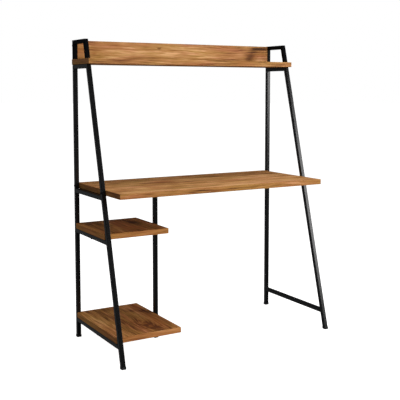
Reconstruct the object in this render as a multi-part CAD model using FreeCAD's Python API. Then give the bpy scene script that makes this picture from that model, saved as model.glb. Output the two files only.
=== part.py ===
import FreeCAD, Part
import math
import os
from FreeCAD import Vector

# Ladder desk. Two welded side frames of square steel tube carry a desktop between them and a
# top shelf over them. A trapezoid loop stands on the top shelf at each end and holds a back panel.
# A post under the desktop and the left frame carry two small shelves.
# Millimetres. X runs to the right, Y to the back and Z up. The origin is on the floor, under the
# middle of the desk.

# ---- Overall sizes ------------------------------------------------------------------------------
overall_width = 1148.0        # across the outer faces of the two side frames
overall_depth = 553.0         # front of the front feet to the back of the desktop
overall_height = 1447.0       # floor to the top of the loops

# ---- Steel tube ---------------------------------------------------------------------------------
tube_size = 20.0              # outer width of the square tube
tube_wall = 1.2
tube_corner = 2.5             # outer corner radius
front_leg_run = 387.0         # how far the front leg leans back over the overall height
desk_rail_drop = 1.0          # desktop's underside to the top of the desk rail
post_depth = 212.0            # rear face of the rear legs to the middle of the post

# ---- Boards -------------------------------------------------------------------------------------
desk_height = 762.0           # floor to the desktop's upper face
desktop_thickness = 25.0
desktop_depth = 502.0
desktop_overhang = 11.0       # desktop's back edge behind the rear legs
loop_height = 91.0            # top shelf's upper face to the top of the loops
top_shelf_thickness = 25.0
top_shelf_nose = 31.5         # top shelf's front edge ahead of the loop's foot
top_shelf_overhang = 2.0      # top shelf's back edge behind the rear legs
top_shelf_proud = 1.5         # top shelf's ends beyond the frames' outer faces
middle_shelf_height = 566.5   # floor to the middle shelf's upper face
bottom_shelf_height = 124.0   # floor to the bottom shelf's upper face
shelf_thickness = 25.0        # middle and bottom shelf
shelf_width = 325.5           # left frame's outer face to the shelf's right end
post_housing = 4.0            # how deep the post is let into the shelves' right ends
housing_fit = 0.2             # gap beside the post in its housing
shelf_notch = 8.5             # how far the shelves reach back beside the rear leg
notch_gap = 0.5               # gap between rear leg and notch
shelf_front_gap = 5.0         # shelf's front edge to the front leg behind it
panel_thickness = 16.0
panel_drop = 1.5              # top of the loops to the panel's upper edge
board_edge_chamfer = 1.0

# ---- Feet ---------------------------------------------------------------------------------------
foot_wall = 1.4               # wall of the plastic foot round the tube
foot_floor = 3.0              # plastic under the end of the tube
foot_height = 11.0
foot_fit = 0.1                # clearance between tube and foot
foot_chamfer = 0.8            # round the bottom

# ---- Machine bolts and threaded inserts ---------------------------------------------------------
bolt_diameter = 6.0
bolt_head_diameter = 11.0
bolt_rim_height = 0.9         # straight part of the head, under the dome
rail_bolt_rim_height = 2.9    # the same on the bolts under the shelves' rails
bolt_dome_height = 2.4
bolt_crown_diameter = 5.6     # flat round the socket
bolt_dome_bulge = 0.42        # how far the dome stands out from a cone
bolt_grip = 12.0              # length of bolt that stands in its insert
bolt_clearance = 0.25         # gap round the bolt in tube and board
thread_fit = 0.05             # gap between bolt and thread
socket_width = 4.0            # hexagon socket across flats
socket_depth = 2.4
insert_diameter = 10.0
insert_length = 14.0
insert_fit = 0.1              # gap round the insert in its board
insert_tip_room = 3.0         # bore behind the insert
panel_bolt_drop = 26.0        # top of the loop to the bolt of the back panel

# ---- Angle plates under the desktop -------------------------------------------------------------
plate_reach = 32.0            # level leg, from the desk rail's inner face
plate_drop = 17.0             # upright leg, down the desk rail's inner face
plate_thickness = 3.0
front_plate_length = 100.0
rear_plate_length = 45.0
plate_leg_gap = 0.5           # gap between a plate and the legs of the frame
plate_screw_inset = 12.0      # screw to the plate's inner edge

# ---- Plate on the post --------------------------------------------------------------------------
post_plate_length = 62.0
post_plate_width = 28.0
post_plate_thickness = 3.0
post_screw_spacing = 42.0

# ---- Wood screws --------------------------------------------------------------------------------
screw_diameter = 4.0
screw_length = 18.0           # under the head
screw_point = 5.0             # tapered length at the tip
screw_head_diameter = 8.0
screw_head_height = 2.4
screw_head_chamfer = 0.8
screw_clearance = 0.2         # gap between screw and plate
screw_fit = 0.05              # gap between screw and wood

# ---- Studs between frame, top shelf and loop ----------------------------------------------------
stud_nut_width = 10.0         # across flats
stud_nut_height = 6.0
stud_end = 1.5                # stud beyond each nut
loop_plate_thickness = 2.0    # plate that closes a loop's foot

# ---- Dowels between top shelf and back panel ----------------------------------------------------
dowel_diameter = 8.0
dowel_in_shelf = 12.0
dowel_in_panel = 18.0
dowel_fit = 0.1
dowel_end_room = 0.5
dowel_spacing = 560.0
dowel_chamfer = 0.8

# ---- Places worked out from the sizes -----------------------------------------------------------
frame_x = (overall_width - tube_size) / 2.0
left_face = -overall_width / 2.0
right_face = overall_width / 2.0
back_edge = overall_depth / 2.0
rear_face = back_edge - desktop_overhang
rear_leg_front = rear_face - tube_size
rear_leg_mid = rear_face - tube_size / 2.0

lean = front_leg_run / overall_height
lean_angle = math.degrees(math.atan(lean))
lean_stretch = math.sqrt(1.0 + lean * lean)
tube_level = tube_size * lean_stretch
foot_reach = (foot_wall + foot_fit) * lean_stretch
leg_foot_y = -overall_depth / 2.0 + foot_reach

desk_under = desk_height - desktop_thickness
desk_mid = desk_height - desktop_thickness / 2.0
desk_rail_top = desk_under - desk_rail_drop
plate_under = desk_under - plate_thickness
top_shelf_height = overall_height - loop_height
top_shelf_under = top_shelf_height - top_shelf_thickness
bottom_shelf_under = bottom_shelf_height - shelf_thickness
loop_tube_base = top_shelf_height + loop_plate_thickness
panel_bolt_height = overall_height - panel_bolt_drop

post_left = left_face + shelf_width - post_housing
post_x = post_left + tube_size / 2.0
post_y = rear_face - post_depth
post_top = desk_under - post_plate_thickness

bolt_bore = bolt_diameter / 2.0 + bolt_clearance
insert_bore = insert_diameter / 2.0 + insert_fit
insert_depth = insert_length + insert_tip_room
dowel_bore = dowel_diameter / 2.0 + dowel_fit
screw_hole = screw_diameter / 2.0 + screw_clearance
cutter_size = 4.0 * (overall_width + overall_height)    # larger than anything that it cuts
reach = 2.0 * tube_size                                 # how far cutters run past a face

UP = Vector(0.0, 0.0, 1.0)
DOWN = Vector(0.0, 0.0, -1.0)
SIDES = {"left": -1, "right": 1}
LEFT = SIDES["left"]
RIGHT = SIDES["right"]


def leg_front(z):
    """Y of the front leg's front face at height z."""
    return leg_foot_y + lean * z


def leg_back(z):
    """Y of the front leg's rear face at height z."""
    return leg_front(z) + tube_level


def leg_mid(z):
    """Y of the middle of the front leg at height z."""
    return leg_front(z) + tube_level / 2.0


# ---- Basic forms --------------------------------------------------------------------------------
def block(x0, x1, y0, y1, z0, z1):
    """Plain box between two corners."""
    return Part.makeBox(x1 - x0, y1 - y0, z1 - z0, Vector(x0, y0, z0))


def rounded_bar(size, corner, length):
    """Square bar along +Z from the origin, with its four long edges rounded."""
    bar = square_bar(size, length)
    upright = [e for e in bar.Edges if abs(e.tangentAt(e.FirstParameter).z) > 0.9]
    return bar.makeFillet(corner, upright)


def square_bar(size, length):
    """Square bar along +Z from the origin."""
    return Part.makeBox(size, size, length, Vector(-size / 2.0, -size / 2.0, 0.0))


def square_tube(length):
    """Hollow square tube along +Z from the origin."""
    hollow = square_bar(tube_size - 2.0 * tube_wall, length)
    return rounded_bar(tube_size, tube_corner, length).cut(hollow)


def lay_along(shape, start, tilt):
    """Turn a shape that stands along +Z about the X axis and move its foot to start."""
    turn = FreeCAD.Rotation(Vector(1.0, 0.0, 0.0), -tilt)
    placed = shape.copy()
    placed.Placement = FreeCAD.Placement(start, turn).multiply(placed.Placement)
    return placed


def cut_beyond(shape, point, normal):
    """Take away all of the shape on the side of the plane that the normal points to."""
    half = cutter_size / 2.0
    cutter = Part.makeBox(cutter_size, cutter_size, cutter_size, Vector(-half, -half, 0.0))
    cutter.Placement = FreeCAD.Placement(point, FreeCAD.Rotation(UP, normal))
    return shape.cut(cutter)


def between_levels(shape, low, high):
    """Cut a shape level at two heights."""
    shape = cut_beyond(shape, Vector(0.0, 0.0, low), DOWN)
    return cut_beyond(shape, Vector(0.0, 0.0, high), UP)


def cross_hole(x, y, z, radius):
    """Cylinder along X through a tube whose middle is at x."""
    return Part.makeCylinder(radius, 2.0 * reach, Vector(x - reach, y, z), Vector(1.0, 0.0, 0.0))


def upright_hole(x, y, z0, z1, radius):
    """Cylinder along Z between two heights."""
    return Part.makeCylinder(radius, z1 - z0, Vector(x, y, z0))


def end_bore(side, x, y, z, depth, radius):
    """Blind bore along X into a board's end at x. The side tells which end of the board it is."""
    return Part.makeCylinder(radius, depth, Vector(x, y, z), Vector(-side, 0.0, 0.0))


# ---- Mitre planes -------------------------------------------------------------------------------
def rear_mitre(top):
    """Point and normal of the mitre where a rear upright meets the bar whose upper face is top."""
    return Vector(0.0, rear_face, top), Vector(0.0, -1.0, 1.0)


def front_mitre(top):
    """Point and normal of the mitre where a front upright meets the bar whose upper face is top."""
    outer = Vector(0.0, leg_front(top), top)
    inner = Vector(0.0, leg_back(top - tube_size), top - tube_size)
    along = inner.sub(outer)
    return outer, Vector(0.0, -along.z, along.y)


# ---- Tubes of the side frames and loops ---------------------------------------------------------
def rear_upright(x, base, top):
    """Vertical tube from base to the mitre under a bar."""
    tube = lay_along(square_tube(top - base), Vector(x, rear_leg_mid, base), 0.0)
    point, normal = rear_mitre(top)
    return cut_beyond(tube, point, normal)


def front_upright(x, base, top):
    """Leaning tube, cut level at its base and mitred under a bar."""
    low = base - reach
    length = (top - base + 2.0 * reach) * lean_stretch
    tube = lay_along(square_tube(length), Vector(x, leg_mid(low), low), lean_angle)
    tube = cut_beyond(tube, Vector(0.0, 0.0, base), DOWN)
    point, normal = front_mitre(top)
    return cut_beyond(tube, point, normal)


def level_tube(x, top):
    """Tube along Y whose upper face is at top, longer than any rail."""
    start = Vector(x, leg_front(top) - reach, top - tube_size / 2.0)
    return lay_along(square_tube(rear_face - leg_front(top) + 2.0 * reach), start, 90.0)


def mitred_bar(x, top):
    """Level bar mitred onto the rear and the front upright."""
    bar = level_tube(x, top)
    point, normal = rear_mitre(top)
    bar = cut_beyond(bar, point, normal.negative())
    point, normal = front_mitre(top)
    return cut_beyond(bar, point, normal.negative())


def butted_rail(x, top):
    """Level rail that butts on the rear leg's front and the front leg's rear face."""
    rail = level_tube(x, top)
    rail = cut_beyond(rail, Vector(0.0, rear_leg_front, 0.0), Vector(0.0, 1.0, 0.0))
    return cut_beyond(rail, Vector(0.0, leg_back(0.0), 0.0), Vector(0.0, -1.0, lean))


def rear_leg(side):
    """Rear leg with the hole for the desktop's bolt."""
    x = side * frame_x
    leg = rear_upright(x, foot_floor, top_shelf_under)
    return leg.cut(cross_hole(x, rear_leg_mid, desk_mid, bolt_bore))


def front_leg(side):
    """Leaning front leg with the hole for the desktop's bolt."""
    x = side * frame_x
    leg = front_upright(x, foot_floor, top_shelf_under)
    return leg.cut(cross_hole(x, leg_mid(desk_mid), desk_mid, bolt_bore))


def stud_places():
    """Y of the rear and of the front stud of a loop."""
    return rear_leg_mid, leg_mid(loop_tube_base + stud_nut_height / 2.0)


def top_rail(side):
    """Bar under the top shelf, drilled in its upper wall for the studs."""
    x = side * frame_x
    rail = mitred_bar(x, top_shelf_under)
    inside = top_shelf_under - tube_size / 2.0
    for y in stud_places():
        rail = rail.cut(upright_hole(x, y, inside, top_shelf_height, bolt_bore))
    return rail


def desk_rail(side):
    return butted_rail(side * frame_x, desk_rail_top)


def shelf_bolt_y(height):
    """Y of the bolt under a shelf: half way along the shelf."""
    return (rear_leg_front + shelf_front(height)) / 2.0


def shelf_rail(height):
    """Rail of the left frame under a shelf, drilled for the shelf's bolt."""
    x = LEFT * frame_x
    top = height - shelf_thickness
    rail = butted_rail(x, top)
    return rail.cut(upright_hole(x, shelf_bolt_y(height), top - reach, top + reach, bolt_bore))


def right_bottom_rail():
    return butted_rail(RIGHT * frame_x, bottom_shelf_under)


def loop_rear(side):
    """Rear upright of a loop, with the hole for the back panel's bolt."""
    x = side * frame_x
    upright = rear_upright(x, loop_tube_base, overall_height)
    return upright.cut(cross_hole(x, rear_leg_mid, panel_bolt_height, bolt_bore))


def loop_front(side):
    return front_upright(side * frame_x, loop_tube_base, overall_height)


def loop_bar(side):
    return mitred_bar(side * frame_x, overall_height)


def loop_foot_plates(side):
    """Plates that close the two feet of a loop, drilled for the studs."""
    x = side * frame_x
    rear = rounded_bar(tube_size, tube_corner, loop_plate_thickness)
    rear = lay_along(rear, Vector(x, rear_leg_mid, top_shelf_height), 0.0)
    low = top_shelf_height - reach
    length = 2.0 * reach * lean_stretch + loop_plate_thickness
    front = rounded_bar(tube_size, tube_corner, length)
    front = lay_along(front, Vector(x, leg_mid(low), low), lean_angle)
    front = between_levels(front, top_shelf_height, loop_tube_base)
    plates = []
    for plate, y in zip((rear, front), stud_places()):
        plates.append(plate.cut(upright_hole(x, y, top_shelf_under, overall_height, bolt_bore)))
    return Part.makeCompound(plates)


# ---- Post ---------------------------------------------------------------------------------------
def post_bolt_heights():
    """Middle of each small shelf's end."""
    return [height - shelf_thickness / 2.0 for height in (middle_shelf_height, bottom_shelf_height)]


def middle_post():
    """Post between floor and desktop, drilled for the bolts of the two shelves."""
    tube = lay_along(square_tube(post_top - foot_floor), Vector(post_x, post_y, foot_floor), 0.0)
    for z in post_bolt_heights():
        tube = tube.cut(cross_hole(post_x, post_y, z, bolt_bore))
    return tube


def post_screw_places():
    half = post_screw_spacing / 2.0
    return [(post_x, post_y - half), (post_x, post_y + half)]


def post_plate():
    """Plate welded on the post, screwed up into the desktop."""
    x0 = post_x - post_plate_width / 2.0
    y0 = post_y - post_plate_length / 2.0
    plate = block(x0, x0 + post_plate_width, y0, y0 + post_plate_length, post_top, desk_under)
    for x, y in post_screw_places():
        plate = plate.cut(upright_hole(x, y, post_top, desk_under, screw_hole))
    return plate


# ---- Feet ---------------------------------------------------------------------------------------
def foot(x, y_at, tilt):
    """Plastic foot over the end of a tube: a cup with walls along the tube and a level bottom."""
    low = -reach
    start = Vector(x, y_at(low), low)
    length = 2.0 * reach * lean_stretch + foot_height
    growth = foot_wall + foot_fit
    cup = lay_along(rounded_bar(tube_size + 2.0 * growth, tube_corner + growth, length), start, tilt)
    cup = between_levels(cup, 0.0, foot_height)
    rims = [e for e in cup.Edges if e.BoundBox.ZMax < foot_chamfer / 2.0]
    cup = cup.makeChamfer(foot_chamfer, rims)
    hollow = rounded_bar(tube_size + 2.0 * foot_fit, tube_corner + foot_fit, length)
    hollow = cut_beyond(lay_along(hollow, start, tilt), Vector(0.0, 0.0, foot_floor), DOWN)
    return cup.cut(hollow)


def rear_foot(side):
    return foot(side * frame_x, lambda z: rear_leg_mid, 0.0)


def front_foot(side):
    return foot(side * frame_x, leg_mid, lean_angle)


def post_foot():
    return foot(post_x, lambda z: post_y, 0.0)


# ---- Boards -------------------------------------------------------------------------------------
def board(x0, x1, y0, y1, z0, z1):
    """Board with all of its edges eased."""
    plank = block(x0, x1, y0, y1, z0, z1)
    return plank.makeChamfer(board_edge_chamfer, plank.Edges)


def desk_end(side):
    """X of the desktop's and the back panel's end: the frame's inner face."""
    return side * (overall_width / 2.0 - tube_size)


def desk_bolt_places():
    """Y of the desktop's two bolts at each end."""
    return rear_leg_mid, leg_mid(desk_mid)


def plate_spans():
    """Front and rear Y of each angle plate, from the legs between which it lies."""
    front_start = leg_back(desk_under) + plate_leg_gap
    rear_end = rear_leg_front - plate_leg_gap
    return {"front": (front_start, front_start + front_plate_length),
            "rear": (rear_end - rear_plate_length, rear_end)}


def plate_screw_place(side, span):
    """X and Y of a plate's screw: near its inner edge, half way along."""
    return desk_end(side) - side * (plate_reach - plate_screw_inset), (span[0] + span[1]) / 2.0


def desk_plate(side, span):
    """Angle plate: one leg on the desk rail's inner face, the other under the desktop."""
    outer = desk_end(side)
    inner = outer - side * plate_reach
    bend = outer - side * plate_thickness
    level = block(min(outer, inner), max(outer, inner), span[0], span[1], plate_under, desk_under)
    upright = block(min(outer, bend), max(outer, bend), span[0], span[1], desk_under - plate_drop, desk_under)
    x, y = plate_screw_place(side, span)
    return level.fuse(upright).removeSplitter().cut(upright_hole(x, y, plate_under, desk_under, screw_hole))


def plate_screw_places():
    """Place of every screw that goes up through an angle plate."""
    return [plate_screw_place(side, span) for side in SIDES.values() for span in plate_spans().values()]


def desktop():
    """Desktop between the frames, bored for inserts at its ends and for screws underneath."""
    top = board(desk_end(LEFT), desk_end(RIGHT), back_edge - desktop_depth, back_edge,
                desk_under, desk_height)
    for side in SIDES.values():
        for y in desk_bolt_places():
            top = top.cut(end_bore(side, desk_end(side), y, desk_mid, insert_depth, insert_bore))
    for x, y in plate_screw_places():
        top = top.cut(screw_bore(x, y, desk_under, screw_length - plate_thickness))
    for x, y in post_screw_places():
        top = top.cut(screw_bore(x, y, desk_under, screw_length - post_plate_thickness))
    return top


def dowel_xs():
    return -dowel_spacing / 2.0, 0.0, dowel_spacing / 2.0


def top_shelf():
    """Shelf over the frames, drilled through for the studs and bored for the dowels."""
    shelf = board(left_face - top_shelf_proud, right_face + top_shelf_proud,
                  leg_front(top_shelf_height) - top_shelf_nose, rear_face + top_shelf_overhang,
                  top_shelf_under, top_shelf_height)
    for side in SIDES.values():
        x = side * frame_x
        for y in stud_places():
            shelf = shelf.cut(upright_hole(x, y, top_shelf_under, top_shelf_height, bolt_bore))
    low = top_shelf_height - dowel_in_shelf - dowel_end_room
    for x in dowel_xs():
        shelf = shelf.cut(upright_hole(x, rear_leg_mid, low, top_shelf_height, dowel_bore))
    return shelf


def back_panel():
    """Panel between the loops, just below their tops."""
    mid_to_face = panel_thickness / 2.0
    panel = board(desk_end(LEFT), desk_end(RIGHT), rear_leg_mid - mid_to_face, rear_leg_mid + mid_to_face,
                  top_shelf_height, overall_height - panel_drop)
    for side in SIDES.values():
        bore = end_bore(side, desk_end(side), rear_leg_mid, panel_bolt_height, insert_depth, insert_bore)
        panel = panel.cut(bore)
    high = top_shelf_height + dowel_in_panel + dowel_end_room
    for x in dowel_xs():
        panel = panel.cut(upright_hole(x, rear_leg_mid, top_shelf_height, high, dowel_bore))
    return panel


def shelf_front(height):
    """Y of a small shelf's front edge, just behind the front leg."""
    return leg_back(height) + shelf_front_gap


def small_shelf(height):
    """Shelf on a left rail, notched round the rear leg, housed for the post and bored for its bolts."""
    under = height - shelf_thickness
    right_end = left_face + shelf_width
    back = rear_leg_front + shelf_notch
    shelf = board(left_face, right_end, shelf_front(height), back, under, height)
    notch_end = desk_end(LEFT) + notch_gap
    shelf = shelf.cut(block(left_face - reach, notch_end, rear_leg_front, back + reach, under, height))
    half = tube_size / 2.0 + housing_fit
    shelf = shelf.cut(block(post_left, right_end + reach, post_y - half, post_y + half, under, height))
    bolt_y = shelf_bolt_y(height)
    shelf = shelf.cut(upright_hole(LEFT * frame_x, bolt_y, under, under + insert_depth, insert_bore))
    mid = height - shelf_thickness / 2.0
    return shelf.cut(end_bore(RIGHT, post_left, post_y, mid, insert_depth, insert_bore))


# ---- Fasteners ----------------------------------------------------------------------------------
def hexagon(width, height):
    """Hexagonal prism along +Z, with two flats facing along Y."""
    radius = width / math.sqrt(3.0)
    corners = [Vector(radius * math.cos(math.radians(a)), radius * math.sin(math.radians(a)), 0.0)
               for a in range(0, 361, 60)]
    return Part.Face(Part.makePolygon(corners)).extrude(Vector(0.0, 0.0, height))


def button_bolt(shank, rim_height=bolt_rim_height):
    """Bolt along +Z: a domed head below the origin, with a hexagon socket, and a shank above it."""
    seat = Vector(0.0, 0.0, 0.0)
    seat_rim = Vector(bolt_head_diameter / 2.0, 0.0, 0.0)
    dome_foot = Vector(bolt_head_diameter / 2.0, 0.0, -rim_height)
    crown_edge = Vector(bolt_crown_diameter / 2.0, 0.0, -rim_height - bolt_dome_height)
    crown = Vector(0.0, 0.0, -rim_height - bolt_dome_height)
    chord = crown_edge.sub(dome_foot)
    outward = Vector(-chord.z, 0.0, chord.x).normalize()
    dome_middle = (dome_foot + crown_edge) * 0.5 + outward * bolt_dome_bulge
    outline = Part.Wire([
        Part.makeLine(seat, seat_rim),
        Part.makeLine(seat_rim, dome_foot),
        Part.Arc(dome_foot, dome_middle, crown_edge).toShape(),
        Part.makeLine(crown_edge, crown),
        Part.makeLine(crown, seat),
    ])
    head = Part.Face(outline).revolve(seat, UP, 360.0)
    socket = hexagon(socket_width, socket_depth)
    socket.translate(crown)
    shank_rod = Part.makeCylinder(bolt_diameter / 2.0, shank)
    return head.cut(socket).fuse(shank_rod).removeSplitter()


def aim(shape, point, direction):
    """Move a shape from the origin to a point and turn its +Z to a direction."""
    placed = shape.copy()
    turn = FreeCAD.Rotation(UP, direction)
    placed.Placement = FreeCAD.Placement(point, turn).multiply(placed.Placement)
    return placed


def insert_sleeve():
    """Threaded insert along +Z."""
    sleeve = Part.makeCylinder(insert_diameter / 2.0, insert_length)
    return sleeve.cut(Part.makeCylinder(bolt_diameter / 2.0 + thread_fit, insert_length))


def desk_bolts():
    """Four bolts through the legs into the desktop's ends."""
    bolts = []
    for side in SIDES.values():
        for y in desk_bolt_places():
            point = Vector(side * overall_width / 2.0, y, desk_mid)
            bolts.append(aim(button_bolt(tube_size + bolt_grip), point, Vector(-side, 0.0, 0.0)))
    return Part.makeCompound(bolts)


def desk_inserts():
    sleeves = []
    for side in SIDES.values():
        for y in desk_bolt_places():
            point = Vector(desk_end(side), y, desk_mid)
            sleeves.append(aim(insert_sleeve(), point, Vector(-side, 0.0, 0.0)))
    return Part.makeCompound(sleeves)


def panel_bolts():
    """Two bolts through the loops into the back panel's ends."""
    bolts = []
    for side in SIDES.values():
        point = Vector(side * overall_width / 2.0, rear_leg_mid, panel_bolt_height)
        bolts.append(aim(button_bolt(tube_size + bolt_grip), point, Vector(-side, 0.0, 0.0)))
    return Part.makeCompound(bolts)


def panel_inserts():
    sleeves = []
    for side in SIDES.values():
        point = Vector(desk_end(side), rear_leg_mid, panel_bolt_height)
        sleeves.append(aim(insert_sleeve(), point, Vector(-side, 0.0, 0.0)))
    return Part.makeCompound(sleeves)


def rail_bolts():
    """Bolts up through the left rails into the small shelves."""
    bolts = []
    for height in (middle_shelf_height, bottom_shelf_height):
        point = Vector(LEFT * frame_x, shelf_bolt_y(height), height - shelf_thickness - tube_size)
        bolts.append(aim(button_bolt(tube_size + bolt_grip, rail_bolt_rim_height), point, UP))
    return Part.makeCompound(bolts)


def rail_inserts():
    sleeves = []
    for height in (middle_shelf_height, bottom_shelf_height):
        point = Vector(LEFT * frame_x, shelf_bolt_y(height), height - shelf_thickness)
        sleeves.append(aim(insert_sleeve(), point, UP))
    return Part.makeCompound(sleeves)


def post_bolts():
    """Bolts through the post into the small shelves' right ends."""
    bolts = []
    for z in post_bolt_heights():
        point = Vector(post_x + tube_size / 2.0, post_y, z)
        bolts.append(aim(button_bolt(tube_size + bolt_grip), point, Vector(-1.0, 0.0, 0.0)))
    return Part.makeCompound(bolts)


def post_inserts():
    sleeves = []
    for z in post_bolt_heights():
        point = Vector(post_left, post_y, z)
        sleeves.append(aim(insert_sleeve(), point, Vector(-1.0, 0.0, 0.0)))
    return Part.makeCompound(sleeves)


def screw_bore(x, y, z, depth):
    """Pilot bore up from z for a wood screw, with room at the tip."""
    return upright_hole(x, y, z, z + depth + screw_fit, screw_diameter / 2.0 + screw_fit)


def wood_screw():
    """Pan-head wood screw along +Z with its head below the origin."""
    head_radius = screw_head_diameter / 2.0
    shank_radius = screw_diameter / 2.0
    straight = screw_length - screw_point
    profile = [
        Vector(0.0, 0.0, -screw_head_height),
        Vector(head_radius - screw_head_chamfer, 0.0, -screw_head_height),
        Vector(head_radius, 0.0, screw_head_chamfer - screw_head_height),
        Vector(head_radius, 0.0, 0.0),
        Vector(shank_radius, 0.0, 0.0),
        Vector(shank_radius, 0.0, straight),
        Vector(0.0, 0.0, screw_length),
        Vector(0.0, 0.0, -screw_head_height),
    ]
    return Part.Face(Part.makePolygon(profile)).revolve(Vector(0.0, 0.0, 0.0), UP, 360.0)


def desk_plate_screws():
    screws = [aim(wood_screw(), Vector(x, y, plate_under), UP) for x, y in plate_screw_places()]
    return Part.makeCompound(screws)


def post_plate_screws():
    screws = [aim(wood_screw(), Vector(x, y, post_top), UP) for x, y in post_screw_places()]
    return Part.makeCompound(screws)


def loop_studs():
    """Studs from the frames' top rails up through the top shelf into the loops."""
    low = top_shelf_under - tube_wall - stud_nut_height - stud_end
    high = loop_tube_base + stud_nut_height + stud_end
    studs = []
    for side in SIDES.values():
        for y in stud_places():
            studs.append(upright_hole(side * frame_x, y, low, high, bolt_diameter / 2.0))
    return Part.makeCompound(studs)


def stud_nuts():
    """Weld nuts under the top rails' upper wall and on the plates in the loops' feet."""
    nut = hexagon(stud_nut_width, stud_nut_height)
    nut = nut.cut(Part.makeCylinder(bolt_diameter / 2.0 + thread_fit, stud_nut_height))
    nuts = []
    for side in SIDES.values():
        for y in stud_places():
            for z in (top_shelf_under - tube_wall - stud_nut_height, loop_tube_base):
                placed = nut.copy()
                placed.translate(Vector(side * frame_x, y, z))
                nuts.append(placed)
    return Part.makeCompound(nuts)


def panel_dowels():
    """Wooden dowels between the top shelf and the back panel."""
    pins = []
    for x in dowel_xs():
        pin = upright_hole(x, rear_leg_mid, top_shelf_height - dowel_in_shelf,
                           top_shelf_height + dowel_in_panel, dowel_diameter / 2.0)
        rims = [e for e in pin.Edges if e.BoundBox.ZLength < dowel_chamfer / 2.0]
        pins.append(pin.makeChamfer(dowel_chamfer, rims))
    return Part.makeCompound(pins)


# ---- The whole desk -----------------------------------------------------------------------------
def all_pieces():
    """Every sub-part by its name."""
    pieces = {}
    for name, side in SIDES.items():
        pieces[name + "_rear_leg"] = rear_leg(side)
        pieces[name + "_front_leg"] = front_leg(side)
        pieces[name + "_top_rail"] = top_rail(side)
        pieces[name + "_desk_rail"] = desk_rail(side)
        pieces[name + "_loop_rear_upright"] = loop_rear(side)
        pieces[name + "_loop_front_upright"] = loop_front(side)
        pieces[name + "_loop_top_bar"] = loop_bar(side)
        pieces[name + "_loop_foot_plates"] = loop_foot_plates(side)
        pieces[name + "_rear_foot"] = rear_foot(side)
        pieces[name + "_front_foot"] = front_foot(side)
        for place, span in plate_spans().items():
            pieces[name + "_" + place + "_desk_plate"] = desk_plate(side, span)
    pieces["left_middle_rail"] = shelf_rail(middle_shelf_height)
    pieces["left_bottom_rail"] = shelf_rail(bottom_shelf_height)
    pieces["right_bottom_rail"] = right_bottom_rail()
    pieces["middle_post"] = middle_post()
    pieces["middle_post_plate"] = post_plate()
    pieces["middle_post_foot"] = post_foot()
    pieces["desktop"] = desktop()
    pieces["top_shelf"] = top_shelf()
    pieces["back_panel"] = back_panel()
    pieces["middle_shelf"] = small_shelf(middle_shelf_height)
    pieces["bottom_shelf"] = small_shelf(bottom_shelf_height)
    pieces["desk_bolts"] = desk_bolts()
    pieces["desk_inserts"] = desk_inserts()
    pieces["panel_bolts"] = panel_bolts()
    pieces["panel_inserts"] = panel_inserts()
    pieces["panel_dowels"] = panel_dowels()
    pieces["rail_bolts"] = rail_bolts()
    pieces["rail_inserts"] = rail_inserts()
    pieces["post_bolts"] = post_bolts()
    pieces["post_inserts"] = post_inserts()
    pieces["post_plate_screws"] = post_plate_screws()
    pieces["desk_plate_screws"] = desk_plate_screws()
    pieces["loop_studs"] = loop_studs()
    pieces["stud_nuts"] = stud_nuts()
    return pieces


os.makedirs("parts", exist_ok=True)
for node, shape in all_pieces().items():
    shape.exportStep(os.path.join("parts", node + ".step"))
    print(node, len(shape.Solids), "solids", round(shape.Volume / 1000.0, 1), "cm3", shape.isValid())
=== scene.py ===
"""Ladder desk: finishes of boards and frames, detailed fasteners, weld beads and a studio stage.

Lengths are in metres, apart from those of the boards' marks. X runs to the right, Y to the back
and Z up, with the origin on the floor.
"""
import math

import bmesh
import bpy
from bpy.props import FloatProperty, FloatVectorProperty, IntProperty, PointerProperty
from bpy.types import Operator, Panel, PropertyGroup
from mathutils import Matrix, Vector


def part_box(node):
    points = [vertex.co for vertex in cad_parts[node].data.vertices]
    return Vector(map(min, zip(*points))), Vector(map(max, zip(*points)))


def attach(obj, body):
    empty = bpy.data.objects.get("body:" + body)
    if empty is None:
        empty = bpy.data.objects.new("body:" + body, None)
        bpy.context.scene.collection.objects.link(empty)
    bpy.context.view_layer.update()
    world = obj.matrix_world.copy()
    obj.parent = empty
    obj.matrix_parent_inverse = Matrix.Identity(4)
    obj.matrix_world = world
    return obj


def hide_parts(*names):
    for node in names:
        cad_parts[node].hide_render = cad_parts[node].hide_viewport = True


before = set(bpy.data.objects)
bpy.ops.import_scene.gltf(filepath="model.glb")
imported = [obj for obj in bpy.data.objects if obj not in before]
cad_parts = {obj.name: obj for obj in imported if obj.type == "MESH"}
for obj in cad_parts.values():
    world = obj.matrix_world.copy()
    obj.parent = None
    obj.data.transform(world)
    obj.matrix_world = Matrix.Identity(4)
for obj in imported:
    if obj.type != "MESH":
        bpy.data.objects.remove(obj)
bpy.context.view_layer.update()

bl_info = {
    "name": "Ladder desk",
    "version": (1, 0, 0),
    "blender": (4, 5, 0),
    "location": "View3D > Sidebar > Desk",
    "description": "Dresses a steel and wood ladder desk and sets it on a studio stage",
    "category": "Object",
}

BODY = "root"
MM = 0.001
X, Y, Z = 0, 1, 2
LEFT, RIGHT = -1, 1
SIDE_NAMES = {LEFT: "left", RIGHT: "right"}


# ---- Settings ----
def length(name, description, default):
    return FloatProperty(name=name, description=description, default=default, unit="LENGTH",
                         precision=5)


def amount(name, description, default):
    return FloatProperty(name=name, description=description, default=default)


def degrees(name, description, default):
    return FloatProperty(name=name, description=description, default=math.radians(default),
                         subtype="ANGLE")


def location(name, description, default):
    return FloatVectorProperty(name=name, description=description, default=default,
                               subtype="TRANSLATION")


def colour(name, description, default):
    return FloatVectorProperty(name=name, description=description, default=default, subtype="COLOR")


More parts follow.
